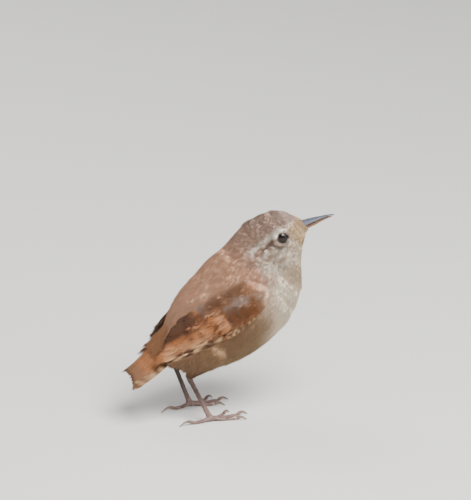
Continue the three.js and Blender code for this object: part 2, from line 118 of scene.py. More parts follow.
def copyOf(name, nodes):  # one new piece from merged copies of CAD nodes
    parts = []
    for node in nodes:
        part = bpy.data.objects.new(name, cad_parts[node].data.copy())
        part.data.materials.clear()
        bpy.context.scene.collection.objects.link(part)
        parts.append(part)
    pick(*parts)
    if len(parts) > 1:
        bpy.ops.object.join()
    bpy.ops.object.mode_set(mode="EDIT")
    bpy.ops.mesh.select_all(action="SELECT")
    bpy.ops.mesh.remove_doubles(threshold=0.002 * mm)
    bpy.ops.object.mode_set(mode="OBJECT")
    return bpy.context.object


def voxelSkin(name, nodes, voxel, swell, rounds, sink):  # one smooth skin round loose copies
    piece = copyOf(name, nodes)
    grow = piece.modifiers.new("grow", "DISPLACE")
    grow.strength = swell * mm
    grow.mid_level = 0
    applyAll(piece)
    piece.data.remesh_voxel_size = voxel * mm
    pick(piece)
    bpy.ops.object.voxel_remesh()
    relax = piece.modifiers.new("relax", "SMOOTH")
    relax.factor = 0.5
    relax.iterations = rounds
    shrink = piece.modifiers.new("shrink", "DISPLACE")
    shrink.strength = -(swell + sink) * mm
    shrink.mid_level = 0
    applyAll(piece)
    return piece


def paintCoat(mesh, colours):
    layer = mesh.color_attributes.new("coat", "FLOAT_COLOR", "POINT")
    full = np.concatenate([np.clip(colours, 0, 1), np.ones((len(colours), 1))], axis=1)
    layer.data.foreach_set("color", full.astype(np.float32).ravel())


def meshPiece(name, points, faces, colours, bake=None, vane=None):
    mesh = bpy.data.meshes.new(name)
    mesh.vertices.add(len(points))
    mesh.vertices.foreach_set("co", (points * mm).astype(np.float32).ravel())
    flat = faces.ravel().astype(np.int32)
    mesh.loops.add(len(flat))
    mesh.loops.foreach_set("vertex_index", flat)
    mesh.polygons.add(len(faces))
    mesh.polygons.foreach_set("loop_start", np.arange(0, len(flat), faces.shape[1], dtype=np.int32))
    mesh.update(calc_edges=True)
    mesh.validate()
    for layer, values in (("OFBake", bake), ("vane", vane)):
        if values is not None:
            mesh.uv_layers.new(name=layer).data.foreach_set("uv", values[flat].astype(np.float32).ravel())
    paintCoat(mesh, colours)
    mesh.polygons.foreach_set("use_smooth", np.ones(len(mesh.polygons), dtype=bool))
    obj = bpy.data.objects.new(name, mesh)
    bpy.context.scene.collection.objects.link(obj)
    return obj


# materials

def addNode(tree, kind, settings=None, links=None):
    node = tree.nodes.new(kind)
    for key, value in (settings or {}).items():
        if isinstance(key, str) and hasattr(node, key):
            setattr(node, key, value)
        else:
            node.inputs[key].default_value = value
    for key, source in (links or {}).items():
        tree.links.new(source, node.inputs[key])
    return node


def newMaterial(name):
    material = bpy.data.materials.new(name)
    material.use_nodes = True
    tree = material.node_tree
    tree.nodes.clear()
    shader = addNode(tree, "ShaderNodeBsdfPrincipled")
    out = addNode(tree, "ShaderNodeOutputMaterial")
    tree.links.new(shader.outputs["BSDF"], out.inputs["Surface"])
    return material, tree, shader


def shaderValues(shader, values, links=None):
    for key, value in values.items():
        shader.inputs[key].default_value = value
    for key, source in (links or {}).items():
        shader.id_data.links.new(source, shader.inputs[key])


def unevenness(tree, size, detail, roughness=0.5):  # soft noise of a size in mm on the piece's own place
    place = addNode(tree, "ShaderNodeTexCoord")
    noise = addNode(tree, "ShaderNodeTexNoise",
                    {"Scale": 1 / (size * mm), "Detail": detail, "Roughness": roughness},
                    {"Vector": place.outputs["Object"]})
    return noise.outputs["Fac"]


def mottled(tree, size, detail, dark, pale, span=(0.0, 1.0), roughness=0.5):  # stains between two colours
    ramp = addNode(tree, "ShaderNodeValToRGB", {}, {"Fac": unevenness(tree, size, detail, roughness)})
    for k, code in enumerate((dark, pale)):
        ramp.color_ramp.elements[k].position = span[k]
        ramp.color_ramp.elements[k].color = rgba(code)
    return ramp.outputs["Color"]


def coatTint(tree, pattern, span, shades):  # the coat's own colour, darker and lighter by a pattern
    colour = addNode(tree, "ShaderNodeAttribute", {"attribute_name": "coat"})
    level = addNode(tree, "ShaderNodeMapRange", {"From Min": span[0], "From Max": span[1], "To Min": shades[0],
                                                 "To Max": shades[1]}, {"Value": pattern})
    tint = addNode(tree, "ShaderNodeVectorMath", {"operation": "SCALE"},
                   {"Vector": colour.outputs["Color"], "Scale": level.outputs["Result"]})
    return tint.outputs["Vector"]


# the bird's own measures, in millimetres, as in the solids

trunk = {
    "vent": np.array([-24, 0, 25.0]),
    "face": np.array([27.5, 0, 67.5]),
    "stations": np.array([  # along, rise, half depth, half width
        [-1.5, -3.3, 3.3, 3.4], [1, -3.3, 7.0, 7.0], [7, -4.2, 11.1, 10.8], [14, -4.7, 15.1, 13.3],
        [21, -5.0, 17.3, 14.4], [28, -5.3, 18.3, 14.7], [35, -5.1, 18.8, 14.3], [41, -4.8, 18.4, 13.5],
        [47, -3.3, 17.5, 12.2], [53, -0.9, 15.8, 10.6], [58.3, 1.9, 11.8, 9.0], [62.5, 3.2, 8.9, 7.3],
        [66, 2.9, 6.1, 5.3], [68.6, 0.4, 2.0, 2.4]]),
    "turn": math.radians(-13), "pivotX": 13.0, "turnFrom": 42, "turnTo": 56,
    "eye": np.array([19.5, 6.25, 66.0]), "eyeRadius": 2.6,
    "billBase": np.array([26.6, 0, 67.9]), "billTip": np.array([38.9, 0, 72.2]),
}
trunkLine = unit(trunk["face"] - trunk["vent"])
trunkUp = np.array([-trunkLine[2], 0, trunkLine[0]])


def turned(points, amount=1.0):  # the head's turn about the upright line through the neck
    angle = trunk["turn"] * np.asarray(amount)
    x = points[..., 0] - trunk["pivotX"]
    y = points[..., 1]
    cos, sin = np.cos(angle), np.sin(angle)
    return np.stack([trunk["pivotX"] + x * cos - y * sin, x * sin + y * cos, points[..., 2]], -1)


eyeModel = turned(trunk["eye"] * np.array([1, -1, 1]))
eyeLow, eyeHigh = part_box("eye_right")
shift = np.array((eyeLow + eyeHigh) / 2) / mm - eyeModel  # from the bird's measures to the frame
print("wren: frame shift in mm", shift.round(3))


def trunkPlace(points):  # along, rise over the line, y, with the head turned straight
    amount = smooth((((points - trunk["vent"]) @ trunkLine) - trunk["turnFrom"]) / 14.0)
    for _ in range(2):
        straight = turned(points, -amount)
        along = (straight - trunk["vent"]) @ trunkLine
        amount = smooth((along - trunk["turnFrom"]) / (trunk["turnTo"] - trunk["turnFrom"]))
    return along, (straight - trunk["vent"]) @ trunkUp, straight[..., 1]


def trunkField(points):  # 1 on the trunk's own surface, less inside it
    along, rise, y = trunkPlace(points)
    middle, depth, width = byTable(trunk["stations"], along)
    return ((rise - middle) / depth) ** 2 + (y / width) ** 2


def trunkNormal(points):
    step = 0.5
    slope = [trunkField(points + step * e) - trunkField(points - step * e) for e in np.eye(3)]
    return unit(np.stack(slope, -1))


# markings, as functions of the place on the bird

tones = {
    "crown": "#b89886", "nape": "#bf9a84", "mantle": "#f0b592", "back": "#d8a686", "rump": "#c08a64",
    "brow": "#fff0dc", "lore": "#b2946f", "eyeStripe": "#6a4f3f", "cheekPale": "#fff0dc",
    "cheekDark": "#9c806c", "throat": "#ccb699", "breast": "#ffe4c9", "flank": "#927050",
    "belly": "#967c5a", "vent": "#5c402b", "bar": "#6e4a35", "forehead": "#7f6f66",
}
tone = {key: srgb(code) for key, code in tones.items()}


def fleck(points, size, seed):  # smooth pseudo-noise from a few waves, -1 to 1
    waves = np.random.default_rng(seed)
    total = np.zeros(points.shape[:-1])
    for _ in range(6):
        direction = unit(waves.normal(size=3))
        total += np.sin(points @ direction * (2 * math.pi / (size * waves.uniform(0.7, 1.5)))
                        + waves.uniform(0, 6.28))
    return total / 3.4


def markings(points):
    along, rise, y = trunkPlace(points)
    side = np.abs(y)
    middle, depth, _ = byTable(trunk["stations"], along)
    height = (rise - middle) / depth  # 1 on the back, -1 on the belly
    noise = fleck(points, 3.0, 4)
    wide = fleck(points, 9.0, 5)

    upper = tone["rump"]
    for key, start, span in (("back", 0, 14), ("mantle", 14, 16), ("nape", 38, 12), ("crown", 50, 7)):
        upper = mix(upper, tone[key], smooth((along - start) / span))
    bars = smooth(np.sin(along * 2 * math.pi / 2.6 + 2.2 * noise) * 1.4 - 0.2)
    upper = mix(upper, tone["bar"], 0.16 * bars * smooth((26 - along) / 14))

    # the belly tone is the underside's own buff darkened as painted shade under the body
    lower = mix(tone["vent"], tone["belly"], smooth((along - 4) / 12))
    lower = mix(lower, tone["breast"], smooth((along - 28) / 12))
    lower = mix(lower, tone["flank"], 0.85 * smooth((height + 0.85) / 0.45) * smooth((44 - along) / 9))
    lower = mix(lower, tone["throat"], smooth((along - 50) / 6))
    lower = mix(lower, tone["bar"], 0.32 * bars * smooth((14 - along) / 8))
    lower = mix(lower, tone["bar"], 0.1 * bars * smooth((30 - along) / 8) * smooth((height + 0.9) / 0.4))

    edge = 0.16 + 0.1 * wide + 0.06 * noise
    edge = edge - 0.22 * smooth((along - 40) / 12) + 0.1 * smooth((12 - along) / 8)
    colour = mix(lower, upper, smooth((height - edge + 0.28) / 0.5))

    # the face, measured from the eye along and across the body's line
    eyeAlong = (trunk["eye"] - trunk["vent"]) @ trunkLine
    eyeRise = (trunk["eye"] - trunk["vent"]) @ trunkUp
    a = along - eyeAlong
    e = rise - eyeRise
    onFace = smooth((side - 1.2) / 2.2)
    streak = fleck(np.stack([a * 0.35, e * 1.5, side * 1.5], -1), 1.7, 9)
    cheek = smooth((a + 15) / 5) * smooth((3.6 - a) / 2.5) * smooth((1.6 - e) / 1.6) * smooth((e + 11) / 4)
    streaked = mix(tone["cheekPale"], tone["cheekDark"], smooth(0.42 + 0.75 * streak))
    colour = mix(colour, streaked, 0.85 * cheek * onFace)
    stripe = bump(e, 0.95 - 0.1 * a * 0.3, 1.25) * smooth((-1.6 - a) / 1.5) * smooth((a + 11) / 4)
    colour = mix(colour, tone["eyeStripe"], 0.8 * stripe * onFace)
    rim = smooth((3.6 - np.hypot(a, e)) / 1.0)
    colour = mix(colour, tone["eyeStripe"], 0.75 * rim * onFace)
    browLine = np.interp(a, [-14, -8, -2.6, 1.5, 3.8, 6], [3.9, 3.6, 2.75, 2.2, 1.0, 0.6])
    brow = bump(e, browLine, 1.25 + 0.15 * streak) * smooth((a + 15) / 5) * smooth((7.2 - a) / 1.5)
    colour = mix(colour, tone["brow"], 0.92 * brow * onFace)
    forehead = smooth((a - 2.5) / 2.5) * smooth((e - 0.6) / 1.5)
    colour = mix(colour, tone["forehead"], 0.6 * forehead)
    front = smooth((a - 2.2) / 2.5) * smooth((1.6 - e) / 1.2)
    colour = mix(colour, tone["lore"], 0.8 * front) * (1 + 0.14 * streak * onFace)[..., None]
    lore = bump(a, 3.3, 1.2) * bump(e, -0.2, 0.9)
    colour = mix(colour, tone["eyeStripe"], 0.45 * lore * onFace)
    malar = bump(a, 1.4, 1.5) * bump(e, -5.8, 0.9)
    colour = mix(colour, tone["cheekDark"], 0.8 * malar * onFace)
    return colour * (1 + 0.04 * noise + 0.05 * wide)[..., None]


# skin: one piece for torso, neck, head and thighs, inside them by the coat's depth

# shade darkens the skin's colours as painted shade, for the skin that lies under the coat
skinShape = {"voxel": 0.5, "swell": 0.3, "rounds": 30, "sink": 0.5, "shade": 0.62,
             "creaseTop": 36, "creaseFade": 4, "creaseRounds": 50}


def makeSkin():
    nodes = ("torso", "neck", "head", "thigh_right", "thigh_left")
    skin = voxelSkin("skin", nodes, *(skinShape[key] for key in ("voxel", "swell", "rounds", "sink")))
    creases = skin.vertex_groups.new(name="creases")  # where the thighs come out of the belly
    for k, z in enumerate(places(skin)[:, 2] / mm):
        if z < skinShape["creaseTop"]:
            weight = min(1.0, (skinShape["creaseTop"] - z) / skinShape["creaseFade"])
            creases.add([k], weight, "REPLACE")
    soften = skin.modifiers.new("soften", "SMOOTH")
    soften.factor = 0.5
    soften.iterations = skinShape["creaseRounds"]
    soften.vertex_group = "creases"
    applyAll(skin)
    # painted shade: the skin's markings are darkened by skinShape's shade, 0.62, for the shade it lies in under
    # the coat
    paintCoat(skin.data, markings(places(skin) / mm - shift) * skinShape["shade"])
    return dress(skin, plumage, "body_plumage", *nodes)


def plumageMaterial():  # keratin barbs, matt with a soft sheen where they catch the light
    material, tree, shader = newMaterial("plumageKeratin")
    fine = unevenness(tree, 0.5, 3.0, 0.6)  # the barbs' own, half a millimetre
    shaderValues(shader, {"Roughness": 0.8, "Specular IOR Level": 0.2, "Sheen Weight": 0.08,
                          "Sheen Roughness": 0.5, "IOR": 1.54},
                 {"Base Color": coatTint(tree, fine, (0.3, 0.7), (0.84, 1.14))})
    return material


barbs = {  # slant of the barbs, their pitch and relief in mm, and how far they lighten on the ridges and darken in the grooves, as painted light and shade
    "downyKeratin": {"slant": 2.2, "pitch": 0.5, "shades": (0.88, 1.1), "relief": (0.3, 0.06), "shader": {
        "Roughness": 0.82, "Specular IOR Level": 0.15, "Sheen Weight": 0.06, "Sheen Roughness": 0.6}},
    "flightVaneKeratin": {"slant": 1.4, "pitch": 0.45, "shades": (0.9, 1.07), "relief": (0.25, 0.05),
                          "shader": {"Roughness": 0.72, "Specular IOR Level": 0.1}},
}


def barbMaterial(name):  # feather keratin, ribbed by slanting barbs, drawn coarser than real to show
    look = barbs[name]
    material, tree, shader = newMaterial(name)
    place = addNode(tree, "ShaderNodeUVMap", {"uv_map": "vane"})
    parts = addNode(tree, "ShaderNodeSeparateXYZ", {}, {"Vector": place.outputs["UV"]})
    wave = parts.outputs["X"]  # becomes the sine of 2 pi (y - slant |x|) / pitch
    for operation, factor, more in (("ABSOLUTE", 0, {}),
                                    ("MULTIPLY_ADD", -look["slant"], {2: parts.outputs["Y"]}),
                                    ("MULTIPLY", 2 * math.pi / look["pitch"], {}), ("SINE", 0, {})):
        step = addNode(tree, "ShaderNodeMath", {"operation": operation, 1: factor}, {0: wave, **more})
        wave = step.outputs["Value"]
    strength, depth = look["relief"]
    relief = addNode(tree, "ShaderNodeBump", {"Strength": strength, "Distance": depth * mm},
                     {"Height": wave})
    # the colour follows the relief: painted light on the barbs' ridges, painted shade in the grooves between
    # them
    shaderValues(shader, {**look["shader"], "IOR": 1.54},
                 {"Base Color": coatTint(tree, wave, (-1.0, 1.0), look["shades"]),
                  "Normal": relief.outputs["Normal"]})
    return material


plumage = plumageMaterial()
downyKeratin = barbMaterial("downyKeratin")
skin = makeSkin()
print("wren: skin", len(skin.data.polygons), "faces")


# contour feathers: small closed vanes with loose tufts of barbs over them, made from arrays

# dark and bright set each feather's paint at its root and at its tip: painted shade at the root, which the
# feathers above cover
vaneForm = {"columns": 7, "thick": 0.06, "arch": 0.07, "notch": 0.26, "loose": 0.06, "shade": 0.03,
            "dark": 0.72, "bright": 0.86}
tuftForm = {"barbs": 6, "width": 0.75, "thick": 0.04, "arch": 0.1, "loose": 0.1, "shade": 0.08,
            "dark": 1.0, "bright": 1.22}


def vaneTemplate(form):  # along, across, up and owner of each point, for a length and half width of 1
    columns = form["columns"]
    j = np.linspace(-1, 1, columns)
    notch = form["notch"] * (np.arange(columns) % 2)
    rows = [np.stack([0 * j, 0.4 * j, 0 * j], 1),
            np.stack([0.52 - 0.1 * j * j, 0.95 * j, 0 * j], 1),
            np.stack([1 - 0.4 * j * j - notch, 0.72 * j, 0 * j], 1)]
    points = np.concatenate([*rows, rows[1][1:-1]])
    points[columns + 1:2 * columns - 1, 2] = 0.5
    points[3 * columns:, 2] = -0.5
    top = np.arange(3 * columns).reshape(3, columns)
    low = top.copy()
    low[1, 1:-1] = 3 * columns + np.arange(columns - 2)
    faces = []
    for grid, over in ((top, True), (low, False)):
        a, b, c, d = grid[:-1, :-1], grid[:-1, 1:], grid[1:, 1:], grid[1:, :-1]
        for half in (np.stack([a, d, c], -1), np.stack([a, c, b], -1)):
            half = half.reshape(-1, 3)
            faces.append(half if over else half[:, ::-1])
    owner = np.arange(len(points))
    owner[3 * columns:] = np.arange(columns + 1, 2 * columns - 1)
    return np.column_stack([points, owner]), np.concatenate(faces)


def tuftTemplate(form):  # slim three-sided barbs in a fan
    points, faces = [], []
    for k in range(form["barbs"]):
        j = -1 + 2 * k / (form["barbs"] - 1)
        half, start = form["width"] / (form["barbs"] - 1), len(points)
        points += [(0, 0.5 * j - half, 0, k), (0, 0.5 * j + half, 0, k), (0, 0.5 * j, 1, k),
                   (1 - 0.2 * j * j, 1.05 * j, 0.4, k)]
        faces += [(start, start + 2, start + 1)]
        faces += [(start + a, start + b, start + 3) for a, b in ((0, 1), (1, 2), (2, 0))]
    return np.array(points), np.array(faces)


bakePatch = 0.0015  # half a tuft's patch on the bake map
for form, template in ((vaneForm, vaneTemplate), (tuftForm, tuftTemplate)):
    form["points"], form["faces"] = template(form)


def flatFlow(flows, normals):  # the flow laid in the surface, hanging down where it would stand out
    flat = flows - normals * np.sum(flows * normals, axis=1, keepdims=True)
    size = np.linalg.norm(flat, axis=1)
    down = np.array([0, 0, -1.0]) + normals * normals[:, 2:3]
    weak = 1 - smooth(size / 0.7)
    return unit(flat + 1.2 * down * weak[:, None]), weak


def growFeathers(name, form, slot, take, arrays, tips=None):  # the feathers of one piece, by a mask
    roots, normals, flows, lengths, widths, lifts, colours, bakeUv = (v[take] for v in arrays)
    count, size = len(roots), len(form["points"])
    flows = flatFlow(flows, normals)[0]
    across = np.cross(normals, flows)
    flows = unit(flows + across * rng.normal(0, 0.12, count)[:, None])
    across = np.cross(normals, flows)
    outShare, sideShare, up, owner = form["points"].T
    owner = owner.astype(int)
    loose = rng.normal(0, 1, (count, owner.max() + 1, 2))[:, owner]
    free = form["loose"] * smooth(outShare)[None]
    t = outShare[None] + loose[..., 0] * free
    w = sideShare[None] + loose[..., 1] * free
    x = t * lengths[:, None]
    y = w * widths[:, None]
    z = np.tan(lifts)[:, None] * (t - 0.5 * t * t) * lengths[:, None]
    z = z - form["arch"] * widths[:, None] * w * w * smooth(t / 0.4)
    z = z + up[None] * form["thick"] + 0.02
    points = (roots[:, None] + x[..., None] * flows[:, None] + y[..., None] * across[:, None]
              + z[..., None] * normals[:, None])
    # painted shade: darker at the root and lighter to the tip, with a random spread per barb and per feather
    shade = form["dark"] + (form["bright"] - form["dark"]) * np.clip(t, 0, 1) + form["shade"] * loose[..., 0]
    shade = shade * (1 + rng.normal(0, 0.035, count))[:, None]
    paint = colours[:, None] * shade[..., None]
    if tips is not None:  # a darker or paler fringe
        paint = mix(paint, tips[take][:, None], 0.55 * smooth((t - 0.7) / 0.3))
    bake = bakeUv[:, None] + bakePatch * np.stack([w, 2 * np.clip(t, 0, 1) - 1], -1)
    faces = (form["faces"][None] + (np.arange(count) * size)[:, None, None]).reshape(-1, 3)
    piece = meshPiece(name, points.reshape(-1, 3) + shift, faces, paint.reshape(-1, 3),
                      bake.reshape(-1, 2), np.stack([y, x], -1).reshape(-1, 2))
    return dress(piece, downyKeratin, slot)


def samplesOn(points, triangles, density):  # seeded places on a surface, in millimetres
    a, b, c = (points[triangles[:, i]] for i in range(3))
    cross = np.cross(b - a, c - a)
    area = np.linalg.norm(cross, axis=1) / 2
    want = area * density((a + b + c) / 3)
    number = np.floor(want + rng.random(len(want))).astype(int)
    owner = np.repeat(np.arange(len(triangles)), number)
    u, v = rng.random(len(owner)), rng.random(len(owner))
    flip = u + v > 1
    u, v = np.where(flip, 1 - u, u), np.where(flip, 1 - v, v)
    place = a[owner] + u[:, None] * (b - a)[owner] + v[:, None] * (c - a)[owner]
    return place, unit(cross)[owner]


def bakePlace(points):  # an unwrap of the trunk's own form, round and along it
    along, rise, y = trunkPlace(points)
    angle = np.arctan2(y, rise + 3.0)
    return np.stack([0.03 + 0.94 * (angle / (2 * math.pi) + 0.5), 0.03 + 0.94 * (along + 6) / 78], -1)


coat = {  # along the trunk: tuft length, half width, tufts for each square millimetre
    "rows": np.array([
        [-4, 4.4, 0.9, 2.9], [14, 4.6, 0.95, 2.9], [30, 4.6, 0.95, 2.9], [42, 4.0, 0.85, 3.5],
        [50, 3.2, 0.7, 4.8], [58, 2.4, 0.52, 7.0], [64, 1.8, 0.4, 9.5], [69, 1.2, 0.3, 12.0]]),
    "lift": math.radians(11), "vaneEvery": 7,
    "eyeGap": 2.5, "tipGap": 2.3, "billGap": 1.1,  # bare round the eyes and the bill's root
    "zones": {"Crown": (55, 99), "Face": (55, 99), "Neck": (44, 55), "Shoulder": (32, 44), "Side": (18, 32),
              "Rump": (-99, 18)},  # spans along the trunk, the first two parted at the eyes' height
    "faceTop": 3.5, "socketDepth": 0.62, "billRoot": trunk["billBase"] + np.array([1.6, 0, 0.6]),
}


def bodyFlow(points, straightAlong):
    bill = turned(trunk["billBase"])
    fromBill = unit(points - bill)
    back = -trunkLine + np.array([0, 0, -0.10])
    blend = smooth((straightAlong - 36) / 24)[:, None]
    return unit(back * (1 - blend) + fromBill * blend)


def growCoat():
    skin.data.calc_loop_triangles()
    triangles = np.empty(len(skin.data.loop_triangles) * 3, dtype=np.int32)
    skin.data.loop_triangles.foreach_get("vertices", triangles)
    roots, normals = samplesOn(places(skin) / mm - shift, triangles.reshape(-1, 3),
                               lambda p: byTable(coat["rows"], trunkPlace(p)[0])[2])
    along, rise, _ = trunkPlace(roots)
    field = trunkField(roots)
    socket = (along > 50) & (field < coat["socketDepth"]) & (along < 67)  # its walls stay bare
    roots, normals, along, rise, field = (v[~socket] for v in (roots, normals, along, rise, field))
    even = smooth((along - 40) / 6)[:, None] * smooth((68 - along) / 1.5)[:, None]
    normals = unit(normals * (1 - even) + trunkNormal(roots) * even)
    lengths, widths, _ = byTable(coat["rows"], along)
    lengths = lengths * rng.uniform(0.85, 1.15, len(roots))
    widths = widths * rng.uniform(0.8, 1.2, len(roots))
    flows = bodyFlow(roots, along)
    onThigh = smooth((field - 0.85) / 0.6) * smooth((34 - roots[:, 2]) / 8) * smooth((34 - along) / 12)
    flows = unit(flows * (1 - onThigh[:, None]) + onThigh[:, None] * np.array([-0.7, 0, -0.72]))
    flows, weak = flatFlow(flows, normals)
    lengths = lengths * (1 - 0.35 * onThigh) * (1 - 0.4 * weak)
    spread = np.abs(roots[:, 1] + flows[:, 1] * lengths) - np.abs(roots[:, 1])
    lengths = np.where((spread > 1.3) & (along < 44), lengths * 0.7, lengths)

    def gap(eye, reach):
        return np.linalg.norm(roots + flows * (lengths * reach)[:, None] - eye, axis=1)

    keep = np.linalg.norm(roots - turned(coat["billRoot"]), axis=1) > coat["billGap"]
    for side in (1, -1):
        eye = turned(trunk["eye"] * np.array([1, side, 1]))
        keep &= gap(eye, 0.0) >= coat["eyeGap"]
        for reach in (0.4, 0.7, 1.0):
            lengths = np.where(gap(eye, reach) < coat["eyeGap"], lengths * 0.6, lengths)
        keep &= gap(eye, 1.0) > coat["tipGap"]
    roots, normals, flows, lengths, widths, along, rise = (
        v[keep] for v in (roots, normals, flows, lengths, widths, along, rise))
    lifts = (coat["lift"] + rng.normal(0, 0.05, len(roots))) * np.interp(along, [0, 40, 60], [1.0, 1.05, 0.9])
    colours, bake = markings(roots), bakePlace(roots)
    isVane = np.arange(len(roots)) % coat["vaneEvery"] == 0
    for name, (start, end) in coat["zones"].items():
        zone = (along > start) & (along <= end)
        slot = "body_plumage"
        if name in ("Crown", "Face"):
            zone &= (rise > coat["faceTop"]) == (name == "Crown")
            slot = "head_plumage"
        for form, part, take, size, raised in ((vaneForm, "", isVane, 1.0, 0.75),
                                               (tuftForm, "Down", ~isVane, 1.1, 1.2)):
            piece = growFeathers(f"coat{name}{part}", form, slot, zone & take,
                                 [roots, normals, flows, size * lengths, size * widths, raised * lifts,
                                  colours, bake])
            print("wren:", piece.name, len(piece.data.polygons), "triangles")


growCoat()


# eyes: a wet dark ball, its bare lid and the CAD ball's place

eyeShape = {"lidRing": 2.1, "lidTube": 0.22, "lidOut": 1.6, "outward": (0.22, 0.96, 0.14)}


def eyeMaterial():  # cornea over a dark brown iris, wet and almost black
    material, tree, shader = newMaterial("wetEye")
    shaderValues(shader, {"Roughness": 0.16, "Specular IOR Level": 0.3, "Coat Weight": 0.12,
                          "Coat Roughness": 0.04},
                 {"Base Color": mottled(tree, 0.8, 2.0, "#070504", "#1a100b")})
    return material


def lidMaterial():  # bare grey-brown skin of the lid, fine folded
    material, tree, shader = newMaterial("bareLidSkin")
    shaderValues(shader, {"Roughness": 0.55}, {"Base Color": mottled(tree, 0.25, 3.0, "#2b221d", "#4c3d33")})
    return material


def makeEyes():
    wet, bare = eyeMaterial(), lidMaterial()
    for side, word in ((-1, "right"), (1, "left")):
        centre = (turned(trunk["eye"] * np.array([1, side, 1])) + shift) * mm
        bpy.ops.mesh.primitive_uv_sphere_add(segments=48, ring_count=32, location=centre,
                                             radius=trunk["eyeRadius"] * mm * 0.985)
        ball = bpy.context.object
        ball.name = f"eyeball_{word}"
        dress(ball, wet, "eye", f"eye_{word}")
        outward = turned(unit(np.array(eyeShape["outward"]) * np.array([1, side, 1]))
                         + np.array([trunk["pivotX"], 0, 0])) - np.array([trunk["pivotX"], 0, 0])
        spot = Vector(centre) + Vector(outward) * eyeShape["lidOut"] * mm
        bpy.ops.mesh.primitive_torus_add(
            major_radius=eyeShape["lidRing"] * mm, minor_radius=eyeShape["lidTube"] * mm,
            major_segments=56, minor_segments=14, location=spot,
            rotation=Vector(outward).to_track_quat("Z", "Y").to_euler())
        lid = bpy.context.object
        lid.name = f"eyelid_{word}"
        lid.scale = (1.0, 1.0, 1.3)
        dress(lid, bare, "head_plumage")


makeEyes()
print("wren: eyes")


# bill: smoothed horn over the two solids

def hornMaterial(name, dark, pale, edge, roughness):  # keratin sheath, satin, paler along its edges
    material, tree, shader = newMaterial(name)
    stained = mottled(tree, 1.2, 4.0, dark, pale, (0.3, 0.72), 0.55)
    wear = addNode(tree, "ShaderNodeNewGeometry")
    worn = addNode(tree, "ShaderNodeMapRange", {"From Min": 0.56, "From Max": 0.72},
                   {"Value": wear.outputs["Pointiness"]})
    blend = addNode(tree, "ShaderNodeMix", {"data_type": "RGBA", "B": rgba(edge)},
                    {"Factor": worn.outputs["Result"], "A": stained})
    relief = addNode(tree, "ShaderNodeBump", {"Strength": 0.12, "Distance": 0.05 * mm},
                     {"Height": unevenness(tree, 0.3, 2.0)})
    shaderValues(shader, {"Roughness": roughness, "Specular IOR Level": 0.3, "Coat Weight": 0.06,
                          "Coat Roughness": 0.3},
                 {"Base Color": blend.outputs["Result"], "Normal": relief.outputs["Normal"]})
    return material


def hornPiece(name, node, material, slot, voxel=0.16, rounds=5, rootReach=0.0):
    piece = voxelSkin(name, [node], voxel, 0.05, rounds, -0.03)
    if rootReach:  # the base is drawn back under the face's feathers
        place = places(piece) / mm
        base = turned(trunk["billBase"]) + shift
        line = unit(turned(trunk["billTip"]) + shift - base)
        along = (place - base) @ line
        near = 1 - smooth((along - along.min()) / 3.0)
        place = place - line * (rootReach * near)[:, None]
        axis = base + line * ((place - base) @ line)[:, None]
        stout = 1.12 + 0.16 * smooth(1 - along / 9.0)  # the sheath is stouter than the solids' faces
        place = axis + (place - axis) * stout[:, None]
        piece.data.vertices.foreach_set("co", (place * mm).astype(np.float32).ravel())
        piece.data.update()
    return dress(piece, material, slot, node)


upperHorn = hornMaterial("darkBillHorn", "#373944", "#575965", "#73737e", 0.42)
lowerHorn = hornMaterial("paleBillHorn", "#6b4730", "#875f3f", "#a67f5a", 0.42)
hornPiece("billUpper", "bill_upper", upperHorn, "bill_upper", rootReach=2.2)
hornPiece("billLower", "bill_lower", lowerHorn, "bill_lower", rootReach=2.2)
print("wren: bill")


# legs: scaled skin over tarsus and toes, and horn claws

def legMaterial():  # scaled leathery skin, brownish pink and a little shiny
    material, tree, shader = newMaterial("scaledLegSkin")
    place = addNode(tree, "ShaderNodeTexCoord")
    parts = addNode(tree, "ShaderNodeSeparateXYZ", {}, {"Vector": place.outputs["Object"]})
    upper = addNode(tree, "ShaderNodeMapRange", {"From Min": 2.5 * mm, "From Max": 11 * mm},
                    {"Value": parts.outputs["Z"]})  # browner up the shank than at the foot
    stained = mottled(tree, 2.0, 4.0, "#5d463e", "#8c7068", (0.3, 0.7))
    blend = addNode(tree, "ShaderNodeMix",
                    {"data_type": "RGBA", "blend_type": "MULTIPLY", "B": rgba("#7c675a")},
                    {"Factor": upper.outputs["Result"], "A": stained})
    scales = addNode(tree, "ShaderNodeTexVoronoi", {"feature": "DISTANCE_TO_EDGE", "Scale": 1 / (0.7 * mm)},
                     {"Vector": place.outputs["Object"]})  # small side scales, 0.7 mm
    edge = addNode(tree, "ShaderNodeMapRange", {"From Max": 0.12}, {"Value": scales.outputs["Distance"]})
    relief = addNode(tree, "ShaderNodeBump", {"Strength": 0.5, "Distance": 0.08 * mm},
                     {"Height": edge.outputs["Result"]})
    shaderValues(shader, {"Roughness": 0.42, "Subsurface Weight": 0.08, "Subsurface Scale": 0.4 * mm},
                 {"Base Color": blend.outputs["Result"], "Normal": relief.outputs["Normal"]})
    return material


def makeLegs():
    scaled = legMaterial()
    clawHorn = hornMaterial("clawHorn", "#5c483f", "#8a7265", "#a38d80", 0.36)
    for word in ("right", "left"):
        ends = [f"{word}_{toe}" for toe in ("hind", "inner", "middle", "outer")]
        nodes = [f"tarsus_{word}", *(f"toe_{end}" for end in ends)]
        dress(voxelSkin(f"legSkin_{word}", nodes, 0.2, 0.2, 4, -0.02), scaled, "leg", *nodes)
        for end in ends:
            hornPiece(f"claw_{end}_horn", f"claw_{end}", clawHorn, "claw", voxel=0.12, rounds=3)


makeLegs()
print("wren: legs")


# wings and tail: vanes on the wing's and the tail's own surfaces

